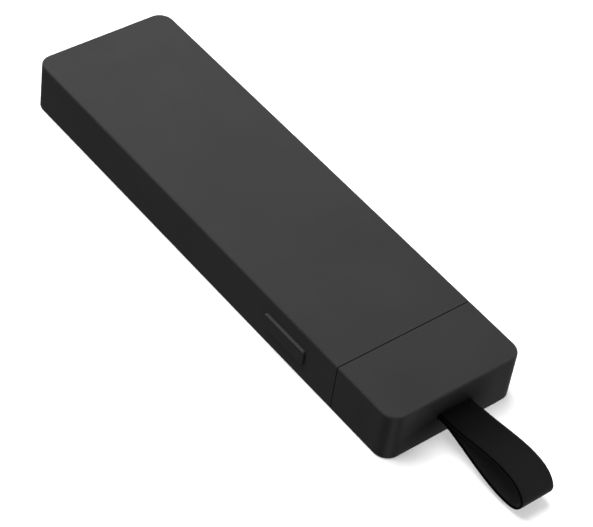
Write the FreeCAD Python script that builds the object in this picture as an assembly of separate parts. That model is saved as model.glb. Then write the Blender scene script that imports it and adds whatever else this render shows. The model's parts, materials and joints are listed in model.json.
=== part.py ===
import FreeCAD, Part
import math
import os

# A capped streaming stick. Millimetres; +X runs along the stick to the cap and its strap, the side
# button is on -Y, +Z is up, and the origin is the middle of the underside.

# ---- outside ----
LENGTH = 116.0            # cap on, without the strap
WIDTH = 32.4
HEIGHT = 11.4
CORNER_R = 3.2            # upright corners
EDGE_R = 0.4              # top and bottom rims
WALL = 1.5
TOP_WALL = 1.4
CAP_LENGTH = 16.0         # with the seam gap
CAP_GAP = 0.22
COVER_T = 1.4
COVER_GAP = 0.12          # round the inset cover
BEZEL_T = 1.6
LABEL_X = (-34.0, 10.0)
LABEL_Y = (-10.0, 10.0)
LABEL_DEPTH = 0.2
LABEL_T = 0.15
LABEL_GAP = 0.1

# ---- board and its screws ----
BOARD_T = 0.8
BOARD_HALF = 13.9
BOARD_REAR_X = -55.9
BOARD_FRONT_X = 40.2
BOARD_CORNER_R = 1.2
POST_X = (-51.6, 36.6)
POST_Y = (-11.4, 11.4)
POST_R = 2.2
PILOT_R = 0.85
PILOT_SPARE = 0.5         # the pilot goes this much deeper than the screw
SCREW_R = 1.0
SCREW_CLEAR_R = 1.1
SCREW_HEAD_R = 1.9
SCREW_HEAD_T = 0.8
SCREW_SUNK = 0.1          # the head is this far inside the cover
SCREW_TIP_Z = 8.9
CROSS_ARM = 1.0
CROSS_HALF = 0.18
CROSS_DEPTH = 0.5

# ---- HDMI type A plug ----
PLUG_W = 13.9             # outside its shell
PLUG_H = 4.45
PLUG_REACH = 11.5         # past the end of the body
PLUG_REAR_X = 37.2
PLUG_SHEET = 0.3
PLUG_CORNER = 0.45
PLUG_TAPER = 1.5          # each lower corner is cut in by this much
PLUG_TAPER_H = 1.675      # and up by this much
PLUG_BORE_GAP = 0.1       # round the plug in the bezel
SOCKET_FIT = 0.06         # round the plug in the cap's liner
LATCH_X = (4.6, 6.8)      # from the body's end
LATCH_Y = 3.4
LATCH_HALF = 1.0
WING_REACH = 1.6
LEDGE_T = 0.55
LEDGE_HALF = (5.6, 4.9)   # upper, lower
LEDGE_X = (3.0, 11.0)     # from the body's end
PLUG_PINS = (10, 9)       # upper, lower
PIN_PITCH = 1.0
PIN_HALF = 0.17
PIN_T = 0.15
PIN_TAIL = 2.0
PLUG_BLOCK_BACK = 0.4     # the moulding sticks out behind the shell
BOARD_SLOT_HALF = 7.2

# ---- USB-C receptacle ----
USB_W = 8.94              # outside its shell
USB_H = 3.16
USB_SHEET = 0.25
USB_FRONT_X = -57.6
USB_DEPTH = 7.3
USB_BLOCK = 1.5
USB_MOUTH_GAP = 0.2
USB_TAB_X = (-54.6, -51.8)
USB_TAB_L = 1.0
USB_TAB_REACH = 1.4
TONGUE_HALF = 3.3
TONGUE_T = 0.7
TONGUE_BACK = 0.6         # behind the shell's mouth
USB_PINS = 12
USB_PITCH = 0.5
USB_PIN_HALF = 0.12
USB_PIN_Z = (0.33, 0.42)
USB_TAIL_Z = (0.40, 0.50)

# ---- components, shields and heat path ----
TOP_SHIELD = (-16.0, 20.0, -11.0, 11.0)
BOTTOM_SHIELD = (-20.0, 14.0, -10.0, 10.0)
SHIELD_H = 1.6
SHIELD_SHEET = 0.2
SHIELD_LIP = 1.0
SHIELD_SKIRT = 1.0
CHIP_T = 1.0
CHIP_X = 10.0
CHIP_SIDE = 13.0
CHIP_PAD_HALF = 6.0
SPREADER_T = 1.0
SPREADER_R = 1.5
ANTENNA_X = (-46.0, -26.0)
ANTENNA_Y = (13.1, 13.35)
ANTENNA_Z = (1.2, 3.2)    # above the board
ANTENNA_LEGS = (-46.0, -41.0)
ANTENNA_LEG_L = 1.2
LIGHT_R = 0.8
LIGHT_FIT = 0.05
LIGHT_FLANGE = 0.5
LIGHT_FLANGE_T = 0.4
LIGHT_Y = 6.8
LIGHT_Z = 6.7
LED_X = -54.6
LED_SIZE = (1.2, 1.6, 1.0)

# ---- side button and its switch ----
BUTTON_X = 27.3
BUTTON_L = 12.0
BUTTON_H = 3.7
BUTTON_PROUD = 0.58
BUTTON_FIT = 0.1
BUTTON_R = 0.5
BUTTON_RIM_R = 0.25
FLANGE_OVER = 0.75        # the flange runs this far behind the wall
FLANGE_T = 0.9
SLACK = 0.05              # flange to wall, and nub to plunger
NUB_HALF = (1.2, 0.8)     # along X, Z
NUB_REACH = 0.4
SWITCH_W = 4.6
SWITCH_H = 1.9
SWITCH_FRONT_Y = -12.3
SWITCH_DEPTH = 3.0
SWITCH_SHEET = 0.15
SWITCH_FLAP = 2.4
CHAMBER_X = 1.5
CHAMBER_Z = 0.7
CHAMBER_DEPTH = 1.4
PLUNGER_HALF = (1.0, 0.5)
PLUNGER_INSIDE = 0.5
COLLAR_HALF = (1.35, 0.62)
COLLAR_Y = (0.03, 0.4)    # inside the chamber
DOME_T = 0.1
DOME_HALF_Z = 0.6
DOME_GAP = 0.03
TERMINAL_L = 0.9

# ---- cap and strap ----
LINER_MOUTH = 0.3         # the liner starts this far inside the cap
LINER_BACK_T = 0.5
SOCKET_SPARE = 0.2        # past the plug's tip
END_WALL = 1.2
POCKET_Y = 4.6
POCKET_Z = 1.5
SLOT_W = 8.6
SLOT_H = 1.6
SLOT_R = 0.5
PIN_X = 55.55
PIN_R = 0.5
PIN_L = 11.0
PIN_FIT = 0.02
PIN_END_GAP = 0.1
STRAP_W = 8.0
STRAP_T = 0.6
BEND_X = 59.9             # the line across the strap that the loop swings about
BEND_R = 0.75

# ---- worked-out places ----
REAR_X = -LENGTH / 2
FRONT_X = LENGTH / 2
SIDE_Y = WIDTH / 2
MID_Z = HEIGHT / 2
SEAM_X = FRONT_X - CAP_LENGTH
CAP_X = SEAM_X + CAP_GAP
INNER_Y = SIDE_Y - WALL
INNER_TOP = HEIGHT - TOP_WALL
BOARD_Z0 = MID_Z - BOARD_T / 2
BOARD_Z1 = MID_Z + BOARD_T / 2
PLUG_TIP_X = SEAM_X + PLUG_REACH
PLUG_BACK_X = PLUG_REAR_X - PLUG_BLOCK_BACK
PLUG_TOP = MID_Z + PLUG_H / 2 - PLUG_SHEET
PLUG_BOTTOM = MID_Z - PLUG_H / 2 + PLUG_SHEET
USB_BACK_X = USB_FRONT_X + USB_DEPTH
USB_BLOCK_X = USB_BACK_X - USB_BLOCK
FLANGE_Y = -INNER_Y + SLACK
NUB_Y = FLANGE_Y + FLANGE_T
LINER_END_X = PLUG_TIP_X + SOCKET_SPARE + LINER_BACK_T
POSTS = [(x, y) for x in POST_X for y in POST_Y]

# The ribbon's middle line in XZ. Inside the cap it comes in through the slot, turns about the pin
# and goes out again. Outside it opens into a drop and comes back under itself.
TAIL_ROUTE = [
    (58.9, 6.08),
    (56.9, 6.06),
    (55.27, 6.69),
    (54.52, 5.70),
    (55.27, 4.71),
    (56.9, 5.34),
    (58.9, 5.32),
]
LOOP_ROUTE = [
    (59.9, 6.10),
    (64.4, 6.62),
    (69.4, 7.52),
    (74.2, 8.06),
    (78.7, 7.52),
    (81.5, 4.72),
    (80.2, 1.86),
    (76.6, 1.38),
    (72.2, 1.92),
    (67.6, 3.10),
    (63.6, 4.38),
    (59.9, 5.30),
]

TINY = 0.001
PAST = 1.0                # a cutting solid runs this far past what it cuts


def vec(x, y, z):
    return FreeCAD.Vector(x, y, z)


def box(x0, x1, y0, y1, z0, z1):
    return Part.makeBox(x1 - x0, y1 - y0, z1 - z0, vec(x0, y0, z0))


def rod(radius, start, axis, length):
    return Part.makeCylinder(radius, length, vec(*start), vec(*axis))


def all_at(edge, axis, value):
    """True for an edge whose ends both lie at this value of X, Y or Z."""
    return all(abs(getattr(v, axis) - value) < TINY for v in edge.Vertexes)


def edges_along(shape, axis):
    """The straight edges parallel to x, y or z."""
    return [e for e in shape.Edges if abs(abs(getattr(e.tangentAt(e.FirstParameter), axis)) - 1) < TINY]


def slab(x0, x1, half, z0, z1, rear_r=0.0, front_r=0.0):
    """A flat block about the long axis, with rounded upright corners at either end."""
    shape = box(x0, x1, -half, half, z0, z1)
    for x, radius in ((x0, rear_r), (x1, front_r)):
        if radius:
            shape = shape.makeFillet(radius, [e for e in edges_along(shape, "z") if all_at(e, "X", x)])
    return shape


def soften_rims(shape, open_x):
    """Round the top and bottom rims, apart from the edges at the open end."""
    rims = [
        e for e in shape.Edges
        if (all_at(e, "Z", 0.0) or all_at(e, "Z", HEIGHT)) and not all_at(e, "X", open_x)
    ]
    return shape.makeFillet(EDGE_R, rims)


def rounded_bar(x0, x1, half_y, half_z, radius):
    """A bar along X at mid height whose cross-section has rounded corners."""
    shape = box(x0, x1, -half_y, half_y, MID_Z - half_z, MID_Z + half_z)
    return shape.makeFillet(radius, edges_along(shape, "x"))


def side_block(half_x, y0, y1, half_z):
    """A block about the button's axis."""
    return box(BUTTON_X - half_x, BUTTON_X + half_x, y0, y1, MID_Z - half_z, MID_Z + half_z)


def rounded_side_block(half_x, y0, y1, half_z, radius):
    shape = side_block(half_x, y0, y1, half_z)
    return shape.makeFillet(radius, edges_along(shape, "y"))


def plug_bar(x0, x1, grow):
    """A bar with the plug's D outline, grown or shrunk evenly."""
    side = PLUG_W / 2 - PLUG_CORNER
    half = PLUG_H / 2 - PLUG_CORNER
    low = PLUG_TAPER_H - PLUG_CORNER - half
    core = [
        (-side, half), (side, half), (side, low),
        (side - PLUG_TAPER, -half), (PLUG_TAPER - side, -half), (-side, low),
    ]
    corners = [vec(x0, y, MID_Z + z) for y, z in core]
    outline = Part.makePolygon(corners + corners[:1]).makeOffset2D(PLUG_CORNER + grow)
    return Part.Face(outline).extrude(vec(x1 - x0, 0, 0))


def on_board(x, y, long, wide, thick, below=False):
    """A component of this size soldered on the board, centred at x, y."""
    z0 = BOARD_Z0 - thick if below else BOARD_Z1
    return box(x - long / 2, x + long / 2, y - wide / 2, y + wide / 2, z0, z0 + thick)


def save(name, *solids):
    shape = solids[0] if len(solids) == 1 else Part.makeCompound(list(solids))
    for solid in shape.Solids:
        assert solid.isValid() and solid.isClosed() and solid.Volume > 0, name
    shape.exportStep(f"parts/{name}.step")


# ---- body shell ----
def upper_housing():
    """The tub: top, both sides and the rear end, with bosses for the screws."""
    shape = soften_rims(slab(REAR_X, SEAM_X, SIDE_Y, 0, HEIGHT, CORNER_R), SEAM_X)
    shape = shape.cut(slab(REAR_X + WALL, SEAM_X + PAST, INNER_Y, -PAST, INNER_TOP, CORNER_R - WALL))
    for x, y in POSTS:
        shape = shape.fuse(rod(POST_R, (x, y, BOARD_Z1), (0, 0, 1), INNER_TOP - BOARD_Z1))
        depth = SCREW_TIP_Z + PILOT_SPARE - BOARD_Z1
        shape = shape.cut(rod(PILOT_R, (x, y, BOARD_Z1 - PAST), (0, 0, 1), depth + PAST))
    window = rounded_side_block(BUTTON_L / 2 + BUTTON_FIT, -SIDE_Y - PAST, -INNER_Y + PAST,
                                BUTTON_H / 2 + BUTTON_FIT, BUTTON_R + BUTTON_FIT)
    half_z = USB_H / 2 + USB_MOUTH_GAP
    inlet = rounded_bar(REAR_X - PAST, REAR_X + WALL + PAST, USB_W / 2 + USB_MOUTH_GAP,
                        half_z, half_z - SLACK)
    light = rod(LIGHT_R, (REAR_X - PAST, LIGHT_Y, LIGHT_Z), (1, 0, 0), WALL + 2 * PAST)
    return shape.cut(window).cut(inlet).cut(light)


def lower_cover():
    """The inset plate that closes the underside, with a post under each screw boss."""
    plate = slab(REAR_X + WALL + COVER_GAP, SEAM_X, INNER_Y - COVER_GAP, 0, COVER_T,
                 CORNER_R - WALL - COVER_GAP)
    for x, y in POSTS:
        plate = plate.fuse(rod(POST_R, (x, y, COVER_T / 2), (0, 0, 1), BOARD_Z0 - COVER_T / 2))
    for x, y in POSTS:
        plate = plate.cut(rod(SCREW_CLEAR_R, (x, y, -PAST), (0, 0, 1), HEIGHT))
        sink = SCREW_HEAD_T + SCREW_SUNK
        plate = plate.cut(rod(SCREW_HEAD_R + LABEL_GAP, (x, y, -PAST), (0, 0, 1), PAST + sink))
    return plate.cut(box(*LABEL_X, *LABEL_Y, -PAST, LABEL_DEPTH))


def underside_label():
    return box(LABEL_X[0] + LABEL_GAP, LABEL_X[1] - LABEL_GAP, LABEL_Y[0] + LABEL_GAP,
               LABEL_Y[1] - LABEL_GAP, LABEL_DEPTH - LABEL_T, LABEL_DEPTH)


def cover_screw(x, y):
    """An M2 pan screw with a cross recess; its thread bites into the boss."""
    head = rod(SCREW_HEAD_R, (x, y, SCREW_SUNK), (0, 0, 1), SCREW_HEAD_T)
    screw = head.fuse(rod(SCREW_R, (x, y, SCREW_SUNK), (0, 0, 1), SCREW_TIP_Z - SCREW_SUNK))
    for half_x, half_y in ((CROSS_ARM, CROSS_HALF), (CROSS_HALF, CROSS_ARM)):
        screw = screw.cut(box(x - half_x, x + half_x, y - half_y, y + half_y,
                              -PAST, SCREW_SUNK + CROSS_DEPTH))
    return screw


def front_bezel():
    """The plate that closes the body's end round the plug."""
    plate = box(SEAM_X - BEZEL_T, SEAM_X, -INNER_Y, INNER_Y, COVER_T, INNER_TOP)
    return plate.cut(plug_bar(SEAM_X - BEZEL_T - PAST, SEAM_X + PAST, PLUG_BORE_GAP))


def main_board():
    """The board, cut away for the two connectors, the button's flange and the switch."""
    board = slab(BOARD_REAR_X, BOARD_FRONT_X, BOARD_HALF, BOARD_Z0, BOARD_Z1, BOARD_CORNER_R)
    flange_half = BUTTON_L / 2 + FLANGE_OVER + 2 * BUTTON_FIT
    switch_half = SWITCH_W / 2 + BUTTON_FIT
    usb_half = USB_W / 2 + USB_MOUTH_GAP
    cuts = [
        (PLUG_BACK_X, BOARD_FRONT_X + PAST, -BOARD_SLOT_HALF, BOARD_SLOT_HALF),
        (BOARD_REAR_X - PAST, USB_BACK_X + USB_MOUTH_GAP, -usb_half, usb_half),
        (BUTTON_X - flange_half, BUTTON_X + flange_half, -SIDE_Y, SWITCH_FRONT_Y - NUB_REACH),
        (BUTTON_X - switch_half, BUTTON_X + switch_half, -SIDE_Y,
         SWITCH_FRONT_Y + SWITCH_DEPTH + BUTTON_FIT),
    ]
    for x0, x1, y0, y1 in cuts:
        board = board.cut(box(x0, x1, y0, y1, BOARD_Z0 - PAST, BOARD_Z1 + PAST))
    for x, y in POSTS:
        board = board.cut(rod(SCREW_CLEAR_R, (x, y, 0), (0, 0, 1), HEIGHT))
    return board


# ---- HDMI plug ----
def hdmi_plug_shell():
    """The drawn sheet, with a latch window on each side above and below, and two wings on the board."""
    shell = plug_bar(PLUG_REAR_X, PLUG_TIP_X, 0)
    for y in (-LATCH_Y, LATCH_Y):
        shell = shell.cut(box(SEAM_X + LATCH_X[0], SEAM_X + LATCH_X[1], y - LATCH_HALF,
                              y + LATCH_HALF, 0, HEIGHT))
    for side in (-1, 1):
        inner, outer = sorted((side * (PLUG_W / 2 - PLUG_SHEET), side * (PLUG_W / 2 + WING_REACH)))
        shell = shell.fuse(box(PLUG_REAR_X + PLUG_SHEET, BOARD_FRONT_X - PLUG_SHEET, inner, outer,
                               BOARD_Z1, BOARD_Z1 + PLUG_SHEET))
    return shell.cut(plug_bar(PLUG_REAR_X - PAST, PLUG_TIP_X + PAST, -PLUG_SHEET))


def hdmi_plug_core():
    """The moulding in the shell: a block behind, and a ledge behind each row of contacts."""
    core = plug_bar(PLUG_BACK_X, SEAM_X + LEDGE_X[0], -PLUG_SHEET)
    start, end = SEAM_X + LEDGE_X[0] - PAST, SEAM_X + LEDGE_X[1]
    core = core.fuse(box(start, end, -LEDGE_HALF[0], LEDGE_HALF[0], PLUG_TOP - LEDGE_T, PLUG_TOP))
    core = core.fuse(box(start, end, -LEDGE_HALF[1], LEDGE_HALF[1], PLUG_BOTTOM, PLUG_BOTTOM + LEDGE_T))
    for contact in hdmi_contacts():
        core = core.cut(contact)
    return core


def hdmi_contacts():
    """Ten contacts above and nine below, each one blade, riser and tail."""
    top = PLUG_TOP - LEDGE_T
    bottom = PLUG_BOTTOM + LEDGE_T
    rows = [
        (PLUG_PINS[0], (top - PIN_T, top), (BOARD_Z1, BOARD_Z1 + PIN_T), (BOARD_Z1, top)),
        (PLUG_PINS[1], (bottom, bottom + PIN_T), (BOARD_Z0 - PIN_T, BOARD_Z0), (bottom, BOARD_Z0)),
    ]
    back = PLUG_BACK_X - 2 * PIN_T
    tip = SEAM_X + LEDGE_X[1] - 2 * PIN_T
    made = []
    for count, blade_z, tail_z, riser_z in rows:
        for i in range(count):
            y = PIN_PITCH * (i - (count - 1) / 2)
            blade = box(back, tip, y - PIN_HALF, y + PIN_HALF, *blade_z)
            riser = box(back, back + PIN_T, y - PIN_HALF, y + PIN_HALF, *riser_z)
            tail = box(back - PIN_TAIL, back + PIN_T, y - PIN_HALF, y + PIN_HALF, *tail_z)
            made.append(blade.fuse(riser).fuse(tail).removeSplitter())
    return made


# ---- USB-C inlet ----
def usb_bar(x0, x1, grow):
    half_z = USB_H / 2 + grow
    return rounded_bar(x0, x1, USB_W / 2 + grow, half_z, half_z - SLACK)


def usb_port_shell():
    shell = usb_bar(USB_FRONT_X, USB_BACK_X, 0)
    for side in (-1, 1):
        for x in USB_TAB_X:
            inner, outer = sorted((side * (USB_W / 2 - USB_SHEET), side * (USB_W / 2 + USB_TAB_REACH)))
            shell = shell.fuse(box(x, x + USB_TAB_L, inner, outer, BOARD_Z1, BOARD_Z1 + USB_SHEET))
    return shell.cut(usb_bar(USB_FRONT_X - PAST, USB_BACK_X + PAST, -USB_SHEET))


def usb_port_tongue():
    tongue = usb_bar(USB_BLOCK_X, USB_BACK_X, -USB_SHEET)
    tongue = tongue.fuse(box(USB_FRONT_X + TONGUE_BACK, USB_BLOCK_X + PAST, -TONGUE_HALF, TONGUE_HALF,
                             MID_Z - TONGUE_T / 2, MID_Z + TONGUE_T / 2))
    for contact in usb_contacts():
        tongue = tongue.cut(contact)
    return tongue


def usb_contacts():
    """Twelve contacts on each face of the tongue, each a strip with a tail on the board."""
    start = USB_FRONT_X + TONGUE_BACK + 2 * USB_PIN_HALF
    made = []
    for side in (1, -1):
        strip_z = sorted(MID_Z + side * z for z in USB_PIN_Z)
        tail_z = sorted(MID_Z + side * z for z in USB_TAIL_Z)
        for i in range(USB_PINS):
            y = USB_PITCH * (i - (USB_PINS - 1) / 2)
            strip = box(start, USB_BACK_X + SLACK, y - USB_PIN_HALF, y + USB_PIN_HALF, *strip_z)
            tail = box(USB_BACK_X, USB_BACK_X + 1.0, y - USB_PIN_HALF, y + USB_PIN_HALF, *tail_z)
            made.append(strip.fuse(tail).removeSplitter())
    return made


# ---- components, shields and heat path ----
def memory_chips():
    return [on_board(-7.5, y, 9.0, 9.4, CHIP_T) for y in (-5.2, 5.2)]


def clock_crystals():
    return [on_board(x, y, 3.2, 2.5, 0.7) for x, y in ((-25.0, -2.0), (25.5, 3.0))]


def power_inductors():
    return [on_board(x, 11.0, 2.5, 2.0, 1.2) for x in (-29.0, -25.0, -21.0)]


def capacitors():
    """A column beside the wireless module and two columns behind the plug."""
    pitch = 1.5
    column = [(-21.5, -9.0 + pitch * i) for i in range(8)]
    pair = [(29.0 + pitch * (i % 2), 8.0 - pitch * (i // 2)) for i in range(8)]
    return [on_board(x, y, 1.0, 0.5, 0.5) for x, y in column + pair]


def shield_frame(x0, x1, y0, y1, below):
    """A pressed rim on the board, open in the middle."""
    z0, z1 = (BOARD_Z0 - SHIELD_H, BOARD_Z0) if below else (BOARD_Z1, BOARD_Z1 + SHIELD_H)
    sheet = SHIELD_SHEET
    room = (z0 + sheet, z1 + PAST) if below else (z0 - PAST, z1 - sheet)
    ring = box(x0, x1, y0, y1, z0, z1)
    ring = ring.cut(box(x0 + sheet, x1 - sheet, y0 + sheet, y1 - sheet, *room))
    return ring.cut(box(x0 + SHIELD_LIP, x1 - SHIELD_LIP, y0 + SHIELD_LIP, y1 - SHIELD_LIP,
                        z0 - PAST, z1 + PAST))


def shield_lid(x0, x1, y0, y1, below):
    """A lid over the frame, with a skirt down its outside."""
    face = BOARD_Z0 - SHIELD_H if below else BOARD_Z1 + SHIELD_H
    out = -1 if below else 1
    z0, z1 = sorted((face + out * SHIELD_SHEET, face - out * SHIELD_SKIRT))
    room = sorted((face, face - out * (SHIELD_SKIRT + PAST)))
    sheet = SHIELD_SHEET
    lid = box(x0 - sheet, x1 + sheet, y0 - sheet, y1 + sheet, z0, z1)
    return lid.cut(box(x0, x1, y0, y1, *room))


def processor_pad():
    return box(CHIP_X - CHIP_PAD_HALF, CHIP_X + CHIP_PAD_HALF, -CHIP_PAD_HALF, CHIP_PAD_HALF,
               BOARD_Z1 + CHIP_T, BOARD_Z1 + SHIELD_H)


def top_thermal_pad():
    return box(-13.0, 17.0, -9.0, 9.0, BOARD_Z1 + SHIELD_H + SHIELD_SHEET, INNER_TOP - SPREADER_T)


def bottom_thermal_pad():
    return box(-17.0, 11.0, -8.0, 8.0, COVER_T + SPREADER_T, BOARD_Z0 - SHIELD_H - SHIELD_SHEET)


def top_heat_spreader():
    return slab(-42.0, 32.0, 12.6, INNER_TOP - SPREADER_T, INNER_TOP, SPREADER_R, SPREADER_R)


def bottom_heat_spreader():
    return slab(-40.0, 20.0, 12.0, COVER_T, COVER_T + SPREADER_T, SPREADER_R, SPREADER_R)


def antenna(side):
    """A stamped strip that stands at the board's edge on two legs."""
    y0, y1 = sorted(side * y for y in ANTENNA_Y)
    shape = box(*ANTENNA_X, y0, y1, BOARD_Z1 + ANTENNA_Z[0], BOARD_Z1 + ANTENNA_Z[1])
    for x in ANTENNA_LEGS:
        shape = shape.fuse(box(x, x + ANTENNA_LEG_L, y0, y1, BOARD_Z1, BOARD_Z1 + ANTENNA_Z[1]))
    return shape.removeSplitter()


def light_pipe():
    stem = rod(LIGHT_R - LIGHT_FIT, (REAR_X + LIGHT_FIT, LIGHT_Y, LIGHT_Z), (1, 0, 0), WALL)
    return stem.fuse(rod(LIGHT_R + LIGHT_FLANGE, (REAR_X + WALL, LIGHT_Y, LIGHT_Z), (1, 0, 0),
                         LIGHT_FLANGE_T))


# ---- side button and its switch ----
def side_button():
    """The pressed face, a flange that keeps it behind the wall, and the nub that pushes the switch."""
    face_y = -SIDE_Y - BUTTON_PROUD
    face = rounded_side_block(BUTTON_L / 2, face_y, FLANGE_Y + SLACK, BUTTON_H / 2, BUTTON_R)
    face = face.makeFillet(BUTTON_RIM_R, [e for e in face.Edges if all_at(e, "Y", face_y)])
    flange = rounded_side_block(BUTTON_L / 2 + FLANGE_OVER, FLANGE_Y, NUB_Y,
                                BUTTON_H / 2 + FLANGE_OVER, BUTTON_R)
    nub = side_block(NUB_HALF[0], NUB_Y - SLACK, NUB_Y + NUB_REACH, NUB_HALF[1])
    return face.fuse(flange).fuse(nub)


def switch_base():
    base = side_block(SWITCH_W / 2, SWITCH_FRONT_Y, SWITCH_FRONT_Y + SWITCH_DEPTH, SWITCH_H / 2)
    return base.cut(side_block(CHAMBER_X, SWITCH_FRONT_Y - PAST, SWITCH_FRONT_Y + CHAMBER_DEPTH,
                               CHAMBER_Z))


def switch_cover():
    """A bent sheet: a front with a hole for the plunger, and a flap over the top."""
    front_y = SWITCH_FRONT_Y - SWITCH_SHEET
    top = MID_Z + SWITCH_H / 2
    front = side_block(SWITCH_W / 2, front_y, SWITCH_FRONT_Y, SWITCH_H / 2)
    flap = box(BUTTON_X - SWITCH_W / 2, BUTTON_X + SWITCH_W / 2, front_y,
               SWITCH_FRONT_Y + SWITCH_FLAP, top, top + SWITCH_SHEET)
    hole = side_block(PLUNGER_HALF[0] + SLACK, front_y - PAST, SWITCH_FRONT_Y + PAST,
                      PLUNGER_HALF[1] + SLACK)
    return front.fuse(flap).removeSplitter().cut(hole)


def switch_plunger():
    stem = side_block(PLUNGER_HALF[0], NUB_Y + NUB_REACH + SLACK, SWITCH_FRONT_Y + PLUNGER_INSIDE,
                      PLUNGER_HALF[1])
    collar = side_block(COLLAR_HALF[0], SWITCH_FRONT_Y + COLLAR_Y[0], SWITCH_FRONT_Y + COLLAR_Y[1],
                        COLLAR_HALF[1])
    return stem.fuse(collar)


def switch_dome():
    """A sprung arch between the plunger and the back of the chamber."""
    crown = SWITCH_FRONT_Y + PLUNGER_INSIDE + DOME_GAP
    foot = SWITCH_FRONT_Y + CHAMBER_DEPTH - DOME_GAP
    z = MID_Z - DOME_HALF_Z
    arcs = []
    feet = []
    for inset in (0.0, DOME_T):
        half = CHAMBER_X - DOME_T - inset
        left, right = vec(BUTTON_X - half, foot, z), vec(BUTTON_X + half, foot, z)
        arcs.append(Part.Arc(left, vec(BUTTON_X, crown + inset, z), right).toShape())
        feet.append((left, right))
    soles = [Part.makeLine(feet[0][i], feet[1][i]) for i in (0, 1)]
    outline = Part.Wire([arcs[0], soles[1], arcs[1], soles[0]])
    return Part.Face(outline).extrude(vec(0, 0, 2 * DOME_HALF_Z))


def switch_terminal(side):
    x0, x1 = sorted((BUTTON_X + side * SWITCH_W / 2, BUTTON_X + side * (SWITCH_W / 2 + TERMINAL_L)))
    return box(x0, x1, SWITCH_FRONT_Y + 1.0, SWITCH_FRONT_Y + 2.0, BOARD_Z1, BOARD_Z1 + SWITCH_SHEET)


# ---- cap ----
def cap_shell():
    """The cap's shell, with a slot in its end, a pocket behind it and a groove for the pin."""
    shape = soften_rims(slab(CAP_X, FRONT_X, SIDE_Y, 0, HEIGHT, 0.0, CORNER_R), CAP_X)
    shape = shape.cut(box(CAP_X - PAST, LINER_END_X, -INNER_Y, INNER_Y, WALL, HEIGHT - WALL))
    shape = shape.cut(box(LINER_END_X - PAST, FRONT_X - END_WALL, -POCKET_Y, POCKET_Y,
                          MID_Z - POCKET_Z, MID_Z + POCKET_Z))
    shape = shape.cut(rounded_bar(FRONT_X - END_WALL - PAST, FRONT_X + PAST, SLOT_W / 2, SLOT_H / 2,
                                  SLOT_R))
    half = PIN_L / 2 + PIN_END_GAP
    groove = PIN_R + PIN_FIT
    shape = shape.cut(rod(groove, (PIN_X, -half, MID_Z), (0, 1, 0), 2 * half))
    return shape.cut(box(LINER_END_X - PAST, PIN_X, -half, half, MID_Z - groove, MID_Z + groove))


def cap_liner():
    """The block that fills the cap and grips the plug; its back keeps the strap's pin in place."""
    block = box(CAP_X + LINER_MOUTH, LINER_END_X, -INNER_Y, INNER_Y, WALL, HEIGHT - WALL)
    return block.cut(plug_bar(CAP_X - PAST, LINER_END_X - LINER_BACK_T, SOCKET_FIT))


def strap_pin():
    return rod(PIN_R, (PIN_X, -PIN_L / 2, MID_Z), (0, 1, 0), PIN_L)


# ---- strap ----
def bends(route):
    """For each inner point of a route: its arc's start, end, centre, signed radius and turn."""
    found = []
    for before, here, after in zip(route, route[1:], route[2:]):
        run_in = (here[0] - before[0], here[1] - before[1])
        run_out = (after[0] - here[0], after[1] - here[1])
        len_in, len_out = math.hypot(*run_in), math.hypot(*run_out)
        cross = run_in[0] * run_out[1] - run_in[1] * run_out[0]
        turn = math.atan2(cross, run_in[0] * run_out[0] + run_in[1] * run_out[1])
        reach = 0.45 * min(len_in, len_out)
        radius = reach / math.tan(turn / 2)
        start = tuple(here[i] - run_in[i] / len_in * reach for i in (0, 1))
        end = tuple(here[i] + run_out[i] / len_out * reach for i in (0, 1))
        left = (-run_in[1] / len_in, run_in[0] / len_in)
        centre = tuple(start[i] + left[i] * radius for i in (0, 1))
        found.append((start, end, centre, radius, turn))
    return found


def beside(point, other, gap):
    """A point moved to the left of the way from it to the other."""
    dx, dz = other[0] - point[0], other[1] - point[1]
    length = math.hypot(dx, dz)
    return point[0] - dz / length * gap, point[1] + dx / length * gap


def offset_line(route, gap):
    """The route's runs and arcs moved to its left by gap, as tuples of two or three points."""
    pieces = []
    last = beside(route[0], route[1], gap)
    for start, end, centre, radius, turn in bends(route):
        scale = (radius - gap) / radius
        ends = [tuple(centre[k] + (p[k] - centre[k]) * scale for k in (0, 1)) for p in (start, end)]
        out = (ends[0][0] - centre[0], ends[0][1] - centre[1])
        cos, sin = math.cos(turn / 2), math.sin(turn / 2)
        middle = (centre[0] + out[0] * cos - out[1] * sin, centre[1] + out[0] * sin + out[1] * cos)
        pieces.append((last, ends[0]))
        pieces.append((ends[0], middle, ends[1]))
        last = ends[1]
    pieces.append((last, beside(route[-1], route[-2], -gap)))
    return pieces


def ribbon(name, route):
    """A flat strap across Y whose middle line is this route."""
    half = STRAP_T / 2
    pieces = offset_line(route, half) + offset_line(route, -half)
    pieces.append((beside(route[0], route[1], half), beside(route[0], route[1], -half)))
    pieces.append((beside(route[-1], route[-2], half), beside(route[-1], route[-2], -half)))
    edges = []
    for points in pieces:
        places = [vec(x, -STRAP_W / 2, z) for x, z in points]
        edges.append(Part.makeLine(*places) if len(places) == 2 else Part.Arc(*places).toShape())
    outline = Part.Wire(Part.__sortEdges__(edges))
    solid = Part.Face(outline).extrude(vec(0, STRAP_W, 0))
    length = sum(math.dist(a, b) for a, b in zip(route, route[1:]))
    for _, _, _, radius, turn in bends(route):
        length += abs(radius * turn) - 2 * abs(radius * math.tan(turn / 2))
    print(name, "radii", [round(abs(bend[3]), 2) for bend in bends(route)])
    print(name, "length", round(length, 2), "volume", round(solid.Volume, 3),
          "section x length", round(STRAP_W * STRAP_T * length, 3))
    return solid


def strap_loop():
    """The loop outside the cap, its two ends cut round the line that it swings about."""
    hollow = rod(BEND_R, (BEND_X, -STRAP_W, MID_Z), (0, 1, 0), 2 * STRAP_W)
    return ribbon("strap_loop", LOOP_ROUTE).cut(hollow)


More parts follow.
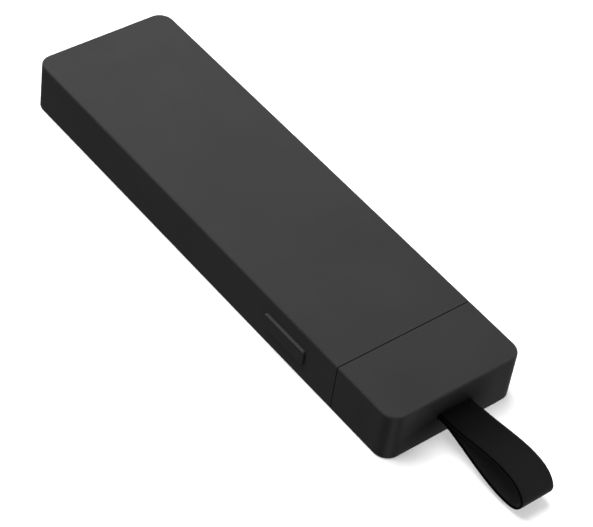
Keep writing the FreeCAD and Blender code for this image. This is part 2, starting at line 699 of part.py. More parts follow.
def main():
    os.makedirs("parts", exist_ok=True)
    save("upper_housing", upper_housing())
    save("lower_cover", lower_cover())
    save("front_bezel", front_bezel())
    save("underside_label", underside_label())
    save("cover_screws", *[cover_screw(x, y) for x, y in POSTS])

    save("main_board", main_board())
    save("hdmi_plug_shell", hdmi_plug_shell())
    save("hdmi_plug_core", hdmi_plug_core())
    save("hdmi_contacts", *hdmi_contacts())
    save("usb_port_shell", usb_port_shell())
    save("usb_port_tongue", usb_port_tongue())
    save("usb_contacts", *usb_contacts())

    save("processor_chip", on_board(CHIP_X, 0, CHIP_SIDE, CHIP_SIDE, CHIP_T))
    save("memory_chips", *memory_chips())
    save("flash_chip", on_board(-11.0, 0, 11.5, 13.0, CHIP_T, True))
    save("power_chip", on_board(-25.0, 6.0, 5.0, 5.0, 0.8))
    save("wireless_module", on_board(-37.0, -3.0, 12.0, 12.0, 1.8))
    save("clock_crystals", *clock_crystals())
    save("power_inductors", *power_inductors())
    save("capacitors", *capacitors())
    save("top_shield_frame", shield_frame(*TOP_SHIELD, False))
    save("top_shield_lid", shield_lid(*TOP_SHIELD, False))
    save("bottom_shield_frame", shield_frame(*BOTTOM_SHIELD, True))
    save("bottom_shield_lid", shield_lid(*BOTTOM_SHIELD, True))
    save("processor_pad", processor_pad())
    save("top_thermal_pad", top_thermal_pad())
    save("bottom_thermal_pad", bottom_thermal_pad())
    save("top_heat_spreader", top_heat_spreader())
    save("bottom_heat_spreader", bottom_heat_spreader())
    save("antennas", antenna(-1), antenna(1))
    save("status_light", on_board(LED_X, LIGHT_Y, *LED_SIZE))
    save("light_pipe", light_pipe())

    save("side_button", side_button())
    save("switch_base", switch_base())
    save("switch_cover", switch_cover())
    save("switch_plunger", switch_plunger())
    save("switch_dome", switch_dome())
    save("switch_terminals", switch_terminal(-1), switch_terminal(1))

    save("cap_shell", cap_shell())
    save("cap_liner", cap_liner())
    save("strap_pin", strap_pin())
    save("strap_tail", ribbon("strap_tail", TAIL_ROUTE))
    save("strap_loop", strap_loop())


main()
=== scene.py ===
import json
import math

import bmesh
import bpy
from mathutils import Matrix, Vector


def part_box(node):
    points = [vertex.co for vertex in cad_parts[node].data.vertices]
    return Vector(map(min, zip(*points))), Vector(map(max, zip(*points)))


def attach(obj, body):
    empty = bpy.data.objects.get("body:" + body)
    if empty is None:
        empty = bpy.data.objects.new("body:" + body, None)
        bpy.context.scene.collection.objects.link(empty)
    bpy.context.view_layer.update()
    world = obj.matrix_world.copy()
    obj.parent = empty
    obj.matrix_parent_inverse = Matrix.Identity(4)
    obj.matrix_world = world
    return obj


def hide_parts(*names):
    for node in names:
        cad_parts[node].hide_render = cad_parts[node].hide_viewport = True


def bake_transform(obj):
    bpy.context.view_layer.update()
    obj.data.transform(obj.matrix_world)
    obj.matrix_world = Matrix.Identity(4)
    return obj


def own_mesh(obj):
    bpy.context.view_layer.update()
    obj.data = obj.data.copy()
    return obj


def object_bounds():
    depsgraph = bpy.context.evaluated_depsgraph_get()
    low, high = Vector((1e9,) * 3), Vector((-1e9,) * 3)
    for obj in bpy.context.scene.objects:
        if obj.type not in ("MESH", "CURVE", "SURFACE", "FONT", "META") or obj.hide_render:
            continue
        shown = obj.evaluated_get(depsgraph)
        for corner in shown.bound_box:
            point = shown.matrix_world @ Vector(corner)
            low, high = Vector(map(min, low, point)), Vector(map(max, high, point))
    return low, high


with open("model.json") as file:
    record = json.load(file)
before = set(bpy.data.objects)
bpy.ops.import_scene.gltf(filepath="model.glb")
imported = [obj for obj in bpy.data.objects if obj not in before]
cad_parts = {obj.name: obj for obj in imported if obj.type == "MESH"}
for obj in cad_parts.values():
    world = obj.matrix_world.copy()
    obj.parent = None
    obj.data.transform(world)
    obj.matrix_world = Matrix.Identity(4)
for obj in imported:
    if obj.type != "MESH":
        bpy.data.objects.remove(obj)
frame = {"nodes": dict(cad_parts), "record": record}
CAD_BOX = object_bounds()
NODES = frame["nodes"]

MM = 0.001

# ---- camera ----
# Azimuth 0 looks along +Y; the lens and sensor are in mm, and the roll turns the picture.
CAMERA_AZIMUTH = 45.51
CAMERA_ELEVATION = 44.63
CAMERA_ROLL = -9.34
CAMERA_DISTANCE = 0.4303
CAMERA_LENS = 134.4
CAMERA_SENSOR = 36.0
CAMERA_CLIP = (0.01, 20.0)
CAMERA_AIM = Vector((0.01279, -0.00212, 0.0057))

# ---- light ----
# Azimuth and elevation in degrees, distance, width and height in metres, watts.
KEY = (244, 31, 0.55, (0.50, 0.30), 0.85)
OVERHEAD = (295, 68, 1.1, (0.9, 0.9), 22.4)
LEFT_FILL = (326, 4, 1.0, (0.40, 0.30), 3.5)
RIGHT_FILL = (152, 5, 0.5, (0.14, 0.24), 5.2)
FRONT_FILL = (62, -25, 0.7, (0.14, 0.12), 0.5)
# The table is lit a little from under its white sheet, which keeps the shadows faint.
FLOOR_GLOW = 0.28
# The sky's shade by height, from the table's level up to straight overhead.
SKY_BY_HEIGHT = [(0.0, 0.4), (0.3, 0.3), (0.6, 0.3), (1.0, 0.3)]
# It changes to the shades below over this height under the table's level.
HORIZON = -0.06
# Its shade below that, by turn from -X through -Y, +X and +Y back to -X.
SKY_BELOW_BY_TURN = [(0.0, 0.10), (0.20, 0.10), (0.24, 0.0), (0.33, 0.0), (0.42, 0.60), (0.48, 0.60),
                     (0.56, 0.10), (1.0, 0.10)]

# ---- strap ----
# The middle line of the ribbon in XZ: round the pin, out through the slot, round the drop and back.
STRAP_ROUTE_MM = [
    (54.71, 5.70), (54.71, 6.16), (55.25, 6.74), (56.5, 6.12), (58.0, 6.06),
    (59.9, 6.10), (64.4, 6.62), (69.4, 7.52), (74.2, 8.06), (78.7, 7.52), (81.5, 4.72),
    (80.2, 1.86), (76.6, 1.38), (72.2, 1.92), (67.6, 3.10), (63.6, 4.38), (59.9, 5.30),
    (58.0, 5.34), (56.5, 5.28), (55.25, 4.66), (54.71, 5.24), (54.71, 5.70),
]
STRAP_WIDTH = 8.0 * MM
STRAP_THICK = 0.6 * MM
STRAP_COLUMNS = 24          # faces across each flat side of the ribbon
STRAP_EDGE_TURNS = 6        # and round each woven edge
ROUTE_RESOLUTION = 64
RIB_PITCH = 0.42 * MM
RIB_HEIGHT = 0.018 * MM
RIB_STEP = 0.1 * MM
WARP_PITCH = 0.24 * MM
TWILL_ACROSS = 0.72 * MM    # the twill climbs one rib in this much of the width
SELVEDGE = 0.45 * MM
# The cloth's greys, between the threads and on them: beside the slot, darkened as painted shade, and
# paler at the fold as painted light.
CLOTH_SLOT_SHADE = (0.0008, 0.0017)
CLOTH_FOLD_LIGHT = (0.0054, 0.0112)
CLOTH_SHADE_CURVE = 1.7       # above 1, it stays dark for longer from the slot
CLOTH_INSIDE_LIGHT = 0.014        # the loop's inside is painted this pale, painted light in its shade, by the share below
CLOTH_INSIDE_LIGHT_SHARE = 0.3
CLOTH_EDGE = 0.0004

# ---- the dark patch round the strap's slot, a tone that stands in for deeper shade ----
HALO_NEAR = 0.9 * MM        # it is darkest up to here from the slot
HALO_FAR = 7.5 * MM         # and gone from here on
HALO_SHADE = 0.22           # its grey beside the plain cap's
HALO_ASIDE = 1.6 * MM       # it lies this far towards the button's side
HALO_INWARD = 8.0           # and it fades this many times faster away from the end face

# ---- the side switch's snap dome ----
DOME_THICK = 0.1 * MM
DOME_CROWN = 0.03 * MM      # its long edges lie this far behind its middle
DOME_STEPS = 32
DOME_COLUMNS = 6

# ---- finishes ----
PLASTIC_EDGE = 0.22 * MM    # plastic edges are rubbed paler this far in from the corner
METAL_EDGE = 0.08 * MM
EDGE_COSINES = (0.995, 0.90)    # between a softened normal and the true one: on a flat, on an edge
UPWARD = (0.1, 0.6)             # the upward part of a normal where the painted highlight on faces that look up begins and is palest

# ---- table ----
TABLE_HALF = 2.5
TABLE_DROP = 0.02 * MM      # it lies this far under the part


def line_of_sight(azimuth, elevation):
    """The unit vector towards these degrees, and the turn of something there that looks back along it."""
    a, e = math.radians(azimuth), math.radians(elevation)
    back = Vector((math.sin(a) * math.cos(e), -math.cos(a) * math.cos(e), math.sin(e)))
    return back, (-back).to_track_quat("-Z", "Y").to_matrix().to_4x4()


def make_camera():
    back, turn = line_of_sight(CAMERA_AZIMUTH, CAMERA_ELEVATION)
    data = bpy.data.cameras.new("camera")
    data.lens = CAMERA_LENS
    data.sensor_width = CAMERA_SENSOR
    data.clip_start, data.clip_end = CAMERA_CLIP
    camera = bpy.data.objects.new("camera", data)
    camera.location = CAMERA_AIM + back * CAMERA_DISTANCE
    roll = Matrix.Rotation(-math.radians(CAMERA_ROLL), 4, "Z")
    camera.matrix_world = Matrix.Translation(camera.location) @ turn @ roll
    bpy.context.scene.collection.objects.link(camera)
    bpy.context.scene.camera = camera


def add_mesh(name, bm, smooth=True):
    """An object with this bmesh's faces, smooth or flat."""
    mesh = bpy.data.meshes.new(name)
    bmesh.ops.recalc_face_normals(bm, faces=bm.faces)
    bm.to_mesh(mesh)
    bm.free()
    for face in mesh.polygons:
        face.use_smooth = smooth
    obj = bpy.data.objects.new(name, mesh)
    bpy.context.scene.collection.objects.link(obj)
    return obj


def skin(bm, rings):
    """Faces between each ring of vertices and the next, and a face over each end."""
    for here, there in zip(rings, rings[1:]):
        for i in range(len(here)):
            j = (i + 1) % len(here)
            bm.faces.new((here[i], here[j], there[j], there[i]))
    bm.faces.new(rings[0])
    bm.faces.new(list(reversed(rings[-1])))


def spline_points(route):
    """The points of a smooth line through space whose control points are this route."""
    curve = bpy.data.curves.new("strap_route", "CURVE")
    curve.dimensions = "3D"
    curve.resolution_u = ROUTE_RESOLUTION
    spline = curve.splines.new("NURBS")
    spline.points.add(len(route) - 1)
    for point, place in zip(spline.points, route):
        point.co = (*place, 1.0)
    spline.order_u = 3
    spline.use_endpoint_u = True
    holder = bpy.data.objects.new("strap_route", curve)
    mesh = bpy.data.meshes.new_from_object(holder)
    points = [v.co.copy() for v in mesh.vertices]
    bpy.data.meshes.remove(mesh)
    bpy.data.objects.remove(holder)
    bpy.data.curves.remove(curve)
    return points


def thin_out(points, step):
    """Every point that is at least a step along the line from the one kept before it."""
    kept = [points[0]]
    for point in points[1:]:
        if (point - kept[-1]).length >= step:
            kept.append(point)
    return kept


def strap_section():
    """The ribbon's cross-section as (across, out) pairs: flat faces and rounded woven edges."""
    half, edge = STRAP_WIDTH / 2, STRAP_THICK / 2
    flat = half - edge
    columns, turns = STRAP_COLUMNS, STRAP_EDGE_TURNS
    section = [(-flat + 2 * flat * i / columns, edge) for i in range(columns + 1)]
    for i in range(1, turns):
        angle = math.pi / 2 - math.pi * i / turns
        section.append((flat + edge * math.cos(angle), edge * math.sin(angle)))
    section += [(flat - 2 * flat * i / columns, -edge) for i in range(columns + 1)]
    for i in range(1, turns):
        angle = -math.pi / 2 - math.pi * i / turns
        section.append((-flat + edge * math.cos(angle), edge * math.sin(angle)))
    return section


def make_strap():
    """The ribbon from the pin round the loop and back, with ribs across it and layers for its cloth."""
    route = [(x * MM, 0.0, z * MM) for x, z in STRAP_ROUTE_MM]
    line = thin_out(spline_points(route), RIB_STEP)
    section = strap_section()
    bm = bmesh.new()
    along = bm.verts.layers.float.new("along")
    across = bm.verts.layers.float.new("across")
    # This layer runs from the slot to the fold and carries the cloth's painted shade and painted light.
    fold_light_share = bm.verts.layers.float.new("fold_light_share")
    inner = bm.verts.layers.float.new("inner")
    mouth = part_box("cap_shell")[1].x
    fold = max(p.x for p in line)
    rings = []
    travelled = 0.0
    for i, point in enumerate(line):
        before, after = line[max(i - 1, 0)], line[min(i + 1, len(line) - 1)]
        travelled += (point - before).length
        tangent = (after - before).normalized()
        out = Vector((-tangent.z, 0.0, tangent.x))
        rib = RIB_HEIGHT * math.sin(2 * math.pi * travelled / RIB_PITCH)
        ring = []
        for y, depth in section:
            lift = depth + math.copysign(rib, depth) * min(1.0, abs(depth) / (STRAP_THICK / 2)) ** 2
            vert = bm.verts.new(point + Vector((0.0, y, 0.0)) + out * lift)
            vert[along] = travelled
            vert[across] = y
            vert[fold_light_share] = (point.x - mouth) / (fold - mouth)
            vert[inner] = 1.0 if depth < 0 else 0.0
            ring.append(vert)
        rings.append(ring)
    skin(bm, rings)
    strap = add_mesh("strap_ribbon", bm)
    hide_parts("strap_tail", "strap_loop")
    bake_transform(strap)
    return strap


def make_dome():
    """The side switch's snap dome: a thin sprung arch, crowned across, shown unpressed."""
    low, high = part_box("switch_dome")
    middle = (low + high) / 2
    half, rise = (high.x - low.x) / 2, high.y - low.y
    radius = (half ** 2 + rise ** 2) / (2 * rise)
    sweep = math.asin(half / radius)
    edge = (high.z - low.z) / 2
    rows = [edge * (2 * i / DOME_COLUMNS - 1) for i in range(DOME_COLUMNS + 1)]
    section = [(z, DOME_CROWN * (z / edge) ** 2) for z in rows]
    section += [(z, depth + DOME_THICK) for z, depth in reversed(section)]
    bm = bmesh.new()
    rings = []
    for i in range(DOME_STEPS + 1):
        angle = sweep * (2 * i / DOME_STEPS - 1)
        ring = []
        for z, depth in section:
            x = middle.x + (radius - depth) * math.sin(angle)
            y = low.y + radius - (radius - depth) * math.cos(angle)
            ring.append(bm.verts.new((x, min(y, high.y), middle.z + z)))
        rings.append(ring)
    skin(bm, rings)
    dome = add_mesh("snap_dome", bm, smooth=False)
    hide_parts("switch_dome")
    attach(dome, "player")
    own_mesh(dome)
    return dome


# ---- materials ----
class Nodes:
    """A material's node tree, with short ways to add and join nodes."""

    def __init__(self, name):
        self.material = bpy.data.materials.new(name)
        self.material.use_nodes = True
        self.tree = self.material.node_tree
        self.shader = self.tree.nodes["Principled BSDF"]
        self.place = self.add("ShaderNodeTexCoord").outputs["Object"]

    def add(self, kind, inputs=(), **settings):
        node = self.tree.nodes.new(kind)
        for key, value in settings.items():
            setattr(node, key, value)
        for key, value in dict(inputs).items():
            self.put(node.inputs[key], value)
        return node

    def put(self, socket, value):
        if isinstance(value, bpy.types.NodeSocket):
            self.tree.links.new(value, socket)
        else:
            socket.default_value = value

    def math(self, operation, a, b=0.0):
        node = self.add("ShaderNodeMath", operation=operation)
        self.put(node.inputs[0], a)
        self.put(node.inputs[1], b)
        return node.outputs[0]

    def noise(self, size, detail=2.0, rough=0.5, where=None):
        """Noise whose blotches are about this many metres across."""
        node = self.add("ShaderNodeTexNoise", {"Vector": where or self.place, "Scale": 1 / size,
                                               "Detail": detail, "Roughness": rough})
        return node.outputs["Fac"]

    def layer(self, name):
        """A float layer of the mesh."""
        return self.add("ShaderNodeAttribute", attribute_name=name).outputs["Fac"]

    def cells(self, size):
        """0 in the middle of each cell of this size, rising to its sides."""
        node = self.add("ShaderNodeTexVoronoi", {"Vector": self.place, "Scale": 1 / size})
        return node.outputs["Distance"]

    def span(self, value, low, high, to_low=0.0, to_high=1.0):
        """The value with low to high spread over to_low to to_high, and held at both ends."""
        node = self.add("ShaderNodeMapRange", {"Value": value, "From Min": low, "From Max": high,
                                               "To Min": to_low, "To Max": to_high})
        return node.outputs["Result"]

    def mix(self, amount, a, b):
        node = self.add("ShaderNodeMix", data_type="RGBA")
        self.put(node.inputs["Factor"], amount)
        self.put(node.inputs[6], a)
        self.put(node.inputs[7], b)
        return node.outputs[2]

    def bump(self, height, depth, strength):
        inputs = {"Height": height, "Distance": depth, "Strength": strength}
        return self.add("ShaderNodeBump", inputs).outputs["Normal"]

    def painted_slot_shade(self):
        """Painted shade mask: 0 beside the strap's slot, rising to 1 far from it."""
        low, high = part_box("cap_shell")
        middle = (low.z + high.z) / 2
        place = self.add("ShaderNodeSeparateXYZ", {"Vector": self.place})
        inward = self.math("MULTIPLY", self.math("SUBTRACT", high.x, place.outputs["X"]), HALO_INWARD)
        side = self.math("ADD", place.outputs["Y"], HALO_ASIDE)
        side = self.math("SUBTRACT", self.math("ABSOLUTE", side), STRAP_WIDTH / 2)
        side = self.math("MAXIMUM", side, 0.0)
        rise = self.math("SUBTRACT", place.outputs["Z"], middle)
        offset = self.add("ShaderNodeCombineXYZ", {"X": inward, "Y": side, "Z": rise})
        away = self.add("ShaderNodeVectorMath", {"Vector": offset.outputs["Vector"]}, operation="LENGTH")
        return self.span(away.outputs["Value"], HALO_NEAR, HALO_FAR)

    def facing_up(self):
        """1 on surfaces that face up, 0 on those that face sideways or down."""
        normal = self.add("ShaderNodeNewGeometry").outputs["Normal"]
        height = self.add("ShaderNodeSeparateXYZ", {"Vector": normal}).outputs["Z"]
        return self.span(height, *UPWARD)

    def worn_edges(self, radius):
        """1 on sharp and rounded edges, 0 on the flats."""
        rounded = self.add("ShaderNodeBevel", {"Radius": radius}, samples=6).outputs["Normal"]
        flat = self.add("ShaderNodeNewGeometry").outputs["Normal"]
        dot = self.add("ShaderNodeVectorMath", operation="DOT_PRODUCT")
        self.put(dot.inputs[0], rounded)
        self.put(dot.inputs[1], flat)
        return self.span(dot.outputs["Value"], *EDGE_COSINES)

    def finish(self, **sockets):
        names = {"color": "Base Color", "rough": "Roughness", "metal": "Metallic",
                 "level": "Specular IOR Level", "normal": "Normal", "sheen": "Sheen Weight",
                 "sheen_rough": "Sheen Roughness", "coat": "Coat Weight",
                 "coat_rough": "Coat Roughness", "through": "Transmission Weight",
                 "aniso": "Anisotropic"}
        for key, value in sockets.items():
            self.put(self.shader.inputs[names[key]], value)
        return self.material


def grey(value, tint=(1.0, 1.0, 1.0)):
    return (value * tint[0], value * tint[1], value * tint[2], 1.0)


def moulded_plastic(name, value, rough, level, grain=0.16 * MM, depth=0.006 * MM,
                    wear_and_light_share=0.1, worn_and_lit_factor=2.2, painted_top_light=False, slot=False):
    """Black moulded plastic with a fine spark-eroded grain and paler places.

    These go a share (wear) of the way to the grey times worn. They are the scuffed edges, or the
    faces that look up (upper), which are painted paler as a painted highlight of light from above.
    The cap also has painted shade round its slot (slot).
    """
    n = Nodes(name)
    broad = n.noise(14 * MM, 3.0)
    smudge = n.noise(3.2 * MM, 4.0, 0.62)
    if painted_top_light:
        # Painted highlight: faces that look up are painted paler, as if lit from above.
        paler = n.facing_up()
    else:
        patchy = n.span(n.noise(1.1 * MM, 3.0), 0.25, 0.55)
        paler = n.math("MULTIPLY", n.worn_edges(PLASTIC_EDGE), patchy)
    base = n.mix(n.span(broad, 0.3, 0.7), grey(value * 0.94), grey(value * 1.06))
    color = n.mix(n.math("MULTIPLY", paler, wear_and_light_share), base, grey(value * worn_and_lit_factor))
    # Painted shade round the strap's slot: the cap is darker there.
    if slot:
        color = n.mix(n.painted_slot_shade(), grey(value * HALO_SHADE), color)
    tone = n.math("ADD", n.span(smudge, 0.3, 0.7, rough - 0.025, rough + 0.025),
                  n.math("MULTIPLY", paler, -0.04))
    pits = n.math("ADD", n.cells(grain), n.math("MULTIPLY", n.noise(grain * 0.6, 2.0), 0.8))
    normal = n.bump(pits, depth, 0.9)
    return n.finish(color=color, rough=tone, level=level, normal=normal)


def ribbon_cloth(name):
    """Black ribbon: fine lengthwise warp and a twill over the ribs, with painted shade darkest at its
    slot, painted light paler towards the fold, and darkest at its edges.
    """
    n = Nodes(name)
    across = n.layer("across")
    warp = n.math("SINE", n.math("MULTIPLY", across, 2 * math.pi / WARP_PITCH))
    step = n.math("ADD", n.math("MULTIPLY", n.layer("along"), 2 * math.pi / RIB_PITCH),
                  n.math("MULTIPLY", across, 2 * math.pi / TWILL_ACROSS))
    twill = n.math("SINE", step)
    weave = n.math("ADD", n.math("MULTIPLY", warp, 0.6), n.math("MULTIPLY", twill, 0.6))
    fibre = n.noise(0.09 * MM, 3.0, 0.7)
    height = n.math("ADD", weave, n.math("MULTIPLY", fibre, 0.7))
    shade = n.span(height, -1.0, 1.8)
    # Painted shade and light: the cloth is dark beside the slot as if shaded, and paler towards the fold
    # as if lit.
    fold_light_share = n.span(n.layer("fold_light_share"), 0.0, 1.0)
    slot_shaded, fold_lit = (n.mix(shade, grey(low), grey(high)) for low, high in (CLOTH_SLOT_SHADE, CLOTH_FOLD_LIGHT))
    color = n.mix(n.math("POWER", fold_light_share, CLOTH_SHADE_CURVE), slot_shaded, fold_lit)
    # Painted light: the loop's inside is painted paler, where it lies in shade.
    inside = n.math("MULTIPLY", n.layer("inner"), CLOTH_INSIDE_LIGHT_SHARE)
    color = n.mix(inside, color, grey(CLOTH_INSIDE_LIGHT))
    edge = n.span(n.math("ABSOLUTE", across),
                  STRAP_WIDTH / 2 - SELVEDGE, STRAP_WIDTH / 2 - SELVEDGE / 3)
    color = n.mix(edge, color, grey(CLOTH_EDGE))
    rough = n.span(fibre, 0.3, 0.7, 0.62, 0.78)
    normal = n.bump(height, 0.018 * MM, 0.8)
    return n.finish(color=color, rough=rough, level=0.03, sheen=0.06, sheen_rough=0.4, normal=normal)


def sheet_metal(name, tint, rough, brushed=0.0):
    """Plated pressed sheet: faint rolling lines, small stains and bright edges."""
    n = Nodes(name)
    stretch = n.add("ShaderNodeMapping", {"Vector": n.place, "Scale": (0.06, 1.0, 1.0)})
    lines = n.noise(0.05 * MM, 2.0, 0.5, stretch.outputs["Vector"])
    stain = n.noise(1.6 * MM, 4.0, 0.6)
    edges = n.worn_edges(METAL_EDGE)
    base = n.mix(n.span(stain, 0.35, 0.7), grey(0.86, tint), grey(1.0, tint))
    color = n.mix(n.math("MULTIPLY", edges, 0.5), base, grey(1.12, tint))
    tone = n.math("ADD", n.span(lines, 0.3, 0.7, rough - 0.05, rough + 0.05),
                  n.span(stain, 0.4, 0.8, 0.0, 0.06))
    normal = n.bump(lines, 0.0015 * MM, 0.6)
    return n.finish(color=color, rough=tone, metal=1.0, aniso=brushed, normal=normal)


def soft_pad(name, value, tint):
    """Filled silicone with pale specks."""
    n = Nodes(name)
    specks = n.span(n.noise(0.12 * MM, 2.0), 0.45, 0.6)
    color = n.mix(specks, grey(value * 0.85, tint), grey(value * 1.1, tint))
    rough = n.span(n.noise(0.8 * MM, 3.0), 0.3, 0.7, 0.72, 0.86)
    return n.finish(color=color, rough=rough, level=0.3, normal=n.bump(specks, 0.01 * MM, 0.7))


def elastomer(name, value):
    """Soft matte rubber with a dusty bloom."""
    n = Nodes(name)
    bloom = n.span(n.noise(2.4 * MM, 4.0, 0.65), 0.35, 0.75)
    color = n.mix(bloom, grey(value), grey(value * 1.5))
    rough = n.span(n.noise(0.6 * MM, 3.0), 0.3, 0.7, 0.66, 0.8)
    return n.finish(color=color, rough=rough, level=0.25,
                    normal=n.bump(n.noise(0.07 * MM, 2.0), 0.005 * MM, 0.8))


def board_mask(name):
    """Solder mask over glass weave and copper traces."""
    n = Nodes(name)
    spread = n.add("ShaderNodeSeparateXYZ", {"Vector": n.place})
    x, y = spread.outputs["X"], spread.outputs["Y"]
    wave = n.math("MULTIPLY", n.math("SINE", n.math("MULTIPLY", x, 2 * math.pi / (0.5 * MM))),
                  n.math("SINE", n.math("MULTIPLY", y, 2 * math.pi / (0.5 * MM))))
    traces = n.add("ShaderNodeTexBrick", {"Vector": n.place, "Scale": 1 / (4 * MM), "Mortar Size": 0.03})
    lines = traces.outputs["Fac"]
    base = n.mix(n.span(wave, -1, 1), (0.004, 0.022, 0.016, 1), (0.006, 0.03, 0.021, 1))
    color = n.mix(n.math("MULTIPLY", lines, 0.6), base, (0.012, 0.06, 0.04, 1))
    height = n.math("ADD", lines, n.math("MULTIPLY", wave, 0.1))
    rough = n.span(n.noise(2 * MM), 0.3, 0.7, 0.3, 0.4)
    return n.finish(color=color, rough=rough, level=0.5, coat=0.3, coat_rough=0.25,
                    normal=n.bump(height, 0.02 * MM, 0.6))


def fired_ceramic(name, tint, value):
    """Fired or pressed ceramic with a fine grain."""
    n = Nodes(name)
    grain = n.noise(0.08 * MM, 3.0)
    color = n.mix(n.span(grain, 0.35, 0.65), grey(value * 0.85, tint), grey(value * 1.1, tint))
    return n.finish(color=color, rough=n.span(grain, 0.3, 0.7, 0.45, 0.6), level=0.45,
                    normal=n.bump(grain, 0.006 * MM, 0.6))


def label_film(name):
    """Blank satin film with a fine emboss."""
    n = Nodes(name)
    emboss = n.cells(0.22 * MM)
    color = n.mix(n.span(n.noise(6 * MM), 0.3, 0.7), grey(0.021), grey(0.026))
    rough = n.span(n.noise(1.5 * MM, 3.0), 0.3, 0.7, 0.34, 0.44)
    return n.finish(color=color, rough=rough, level=0.45, normal=n.bump(emboss, 0.004 * MM, 0.6))


def frosted_lens(name, color, through):
    """A frosted moulding that lets this share of the light through."""
    n = Nodes(name)
    frost = n.noise(0.06 * MM, 2.0)
    tint = n.mix(n.span(frost, 0.3, 0.7), color, tuple(min(1.0, c * 1.1) for c in color[:3]) + (1.0,))
    return n.finish(color=tint, rough=n.span(frost, 0.3, 0.7, 0.35, 0.5), level=0.5, through=through,
                    normal=n.bump(frost, 0.003 * MM, 0.5))


def make_materials():
    """One material for each of the record's slots."""
    nickel, tin = (0.62, 0.60, 0.56), (0.56, 0.56, 0.54)
    return {
        "housing_plastic": moulded_plastic("housing_plastic", 0.0182, 0.44, 0.16),
        "cap_plastic": moulded_plastic("cap_plastic", 0.0182, 0.44, 0.16, slot=True),
        # The button's faces that look up are painted paler: a painted highlight.
        "button_plastic": moulded_plastic("button_plastic", 0.0178, 0.44, 0.16, 0.13 * MM, 0.004 * MM,
                                          wear_and_light_share=1.0, worn_and_lit_factor=2.0, painted_top_light=True),
        "cover_plastic": moulded_plastic("cover_plastic", 0.022, 0.58, 0.30, 0.2 * MM, 0.009 * MM),
        "bezel_plastic": moulded_plastic("bezel_plastic", 0.017, 0.55, 0.30),
        "liner_rubber": elastomer("liner_rubber", 0.02),
        "label_film": label_film("label_film"),
        "strap_fabric": ribbon_cloth("strap_fabric"),
        "steel_black": sheet_metal("steel_black", (0.07, 0.07, 0.075), 0.42),
        "pin_steel": sheet_metal("pin_steel", (0.55, 0.55, 0.56), 0.24, 0.4),
        "plug_nickel": sheet_metal("plug_nickel", nickel, 0.27, 0.3),
        "shield_tin": sheet_metal("shield_tin", tin, 0.36),
        "contact_gold": sheet_metal("contact_gold", (0.83, 0.60, 0.24), 0.22),
        "insulator": moulded_plastic("insulator", 0.012, 0.4, 0.45, 0.1 * MM, 0.002 * MM),
        "board_laminate": board_mask("board_laminate"),
        "chip_epoxy": moulded_plastic("chip_epoxy", 0.014, 0.6, 0.4, 0.08 * MM, 0.004 * MM),
        "ceramic_part": fired_ceramic("ceramic_part", (1.0, 0.72, 0.5), 0.32),
        "ferrite": fired_ceramic("ferrite", (1.0, 1.0, 1.05), 0.06),
        "thermal_pad": soft_pad("thermal_pad", 0.35, (0.78, 0.9, 1.0)),
        "spreader_aluminium": sheet_metal("spreader_aluminium", (0.7, 0.7, 0.71), 0.34, 0.3),
        "antenna_metal": sheet_metal("antenna_metal", (0.66, 0.6, 0.45), 0.3),
        "light_lens": frosted_lens("light_lens", (0.82, 0.86, 0.88, 1.0), 0.85),
        "led_body": frosted_lens("led_body", (0.75, 0.74, 0.6, 1.0), 0.0),
    }


def dress(materials):
    """Every CAD node gets the material of its slot in the record."""
    slots = {row["node"]: row["material_slot"] for row in frame["record"]["subparts"]}
    for name, obj in NODES.items():
        obj.data.materials.clear()
        obj.data.materials.append(materials[slots[name]])


# ---- stage ----
def make_floor():
    """A pale plain table just under the part."""
    bm = bmesh.new()
    bmesh.ops.create_grid(bm, x_segments=8, y_segments=8, size=TABLE_HALF)
    floor = add_mesh("floor", bm, smooth=False)
    floor.location.z = CAD_BOX[0].z - TABLE_DROP
    n = Nodes("floor_paper")
    tone = n.mix(n.span(n.noise(0.2, 2.0), 0.3, 0.7), grey(0.71), grey(0.73))
    n.put(n.shader.inputs["Emission Color"], grey(1.0))
    n.put(n.shader.inputs["Emission Strength"], FLOOR_GLOW)
    floor.data.materials.append(n.finish(color=tone, rough=0.9, level=0.1,
                                         normal=n.bump(n.noise(2 * MM, 2.0), 0.01 * MM, 0.3)))
    # It catches the part's shadow but lights no side of it, and panels under it can shine through.
    floor.visible_diffuse = False
    floor.visible_glossy = False
    floor.visible_shadow = False


def soft_light(name, azimuth, elevation, distance, size, power, shine=True):
    """A panel light that faces the object from this direction, seen in its gloss or not."""
    back, turn = line_of_sight(azimuth, elevation)
    data = bpy.data.lights.new(name, "AREA")
    data.shape = "RECTANGLE"
    data.size, data.size_y = size
    data.energy = power
    light = bpy.data.objects.new(name, data)
    light.matrix_world = Matrix.Translation(back * distance) @ turn
    light.visible_glossy = shine
    bpy.context.scene.collection.objects.link(light)


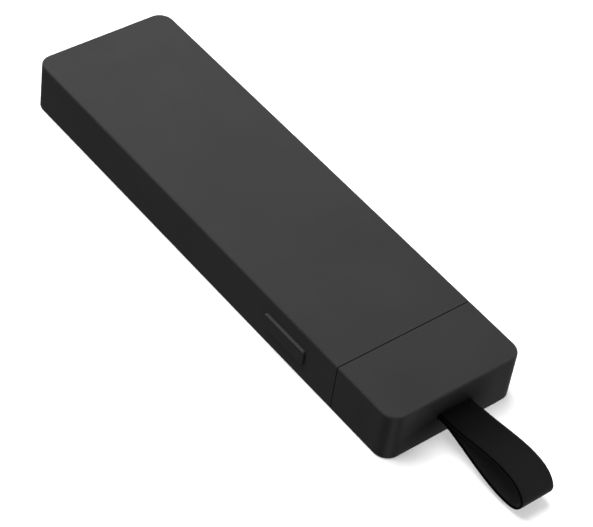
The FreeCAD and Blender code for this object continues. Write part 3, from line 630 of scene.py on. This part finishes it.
def shade_ramp(tree, fac, stops):
    """A grey that follows these (position, shade) stops."""
    ramp = tree.nodes.new("ShaderNodeValToRGB")
    tree.links.new(fac, ramp.inputs["Fac"])
    shades = ramp.color_ramp.elements
    shades[0].position, shades[0].color = stops[0][0], grey(stops[0][1])
    shades[1].position, shades[1].color = stops[-1][0], grey(stops[-1][1])
    for position, shade in stops[1:-1]:
        shades.new(position).color = grey(shade)
    return ramp.outputs["Color"]


def make_sky():
    """A room with pale walls, dim overhead, and soft panels below the table's level."""
    world = bpy.data.worlds.new("studio")
    world.use_nodes = True
    tree = world.node_tree
    place = tree.nodes.new("ShaderNodeTexCoord").outputs["Generated"]
    split = tree.nodes.new("ShaderNodeSeparateXYZ")
    tree.links.new(place, split.inputs[0])
    around = tree.nodes.new("ShaderNodeTexGradient")
    around.gradient_type = "RADIAL"
    tree.links.new(place, around.inputs["Vector"])
    above = shade_ramp(tree, split.outputs["Z"], SKY_BY_HEIGHT)
    below = shade_ramp(tree, around.outputs["Fac"], SKY_BELOW_BY_TURN)
    choose = tree.nodes.new("ShaderNodeMapRange")
    choose.inputs["From Min"].default_value = HORIZON
    choose.inputs["From Max"].default_value = 0.0
    tree.links.new(split.outputs["Z"], choose.inputs["Value"])
    join = tree.nodes.new("ShaderNodeMix")
    join.data_type = "RGBA"
    tree.links.new(choose.outputs["Result"], join.inputs["Factor"])
    tree.links.new(below, join.inputs[6])
    tree.links.new(above, join.inputs[7])
    tree.links.new(join.outputs[2], tree.nodes["Background"].inputs["Color"])
    bpy.context.scene.world = world


def make_lights():
    make_sky()
    soft_light("key", *KEY)
    soft_light("overhead", *OVERHEAD, shine=False)
    soft_light("right_fill", *RIGHT_FILL, shine=False)
    soft_light("left_fill", *LEFT_FILL, shine=False)
    soft_light("front_fill", *FRONT_FILL)
    bpy.context.scene.view_settings.view_transform = "Standard"


make_camera()
strap = make_strap()
dome = make_dome()
materials = make_materials()
strap.data.materials.append(materials["strap_fabric"])
dome.data.materials.append(materials["pin_steel"])
dress(materials)
make_floor()
make_lights()
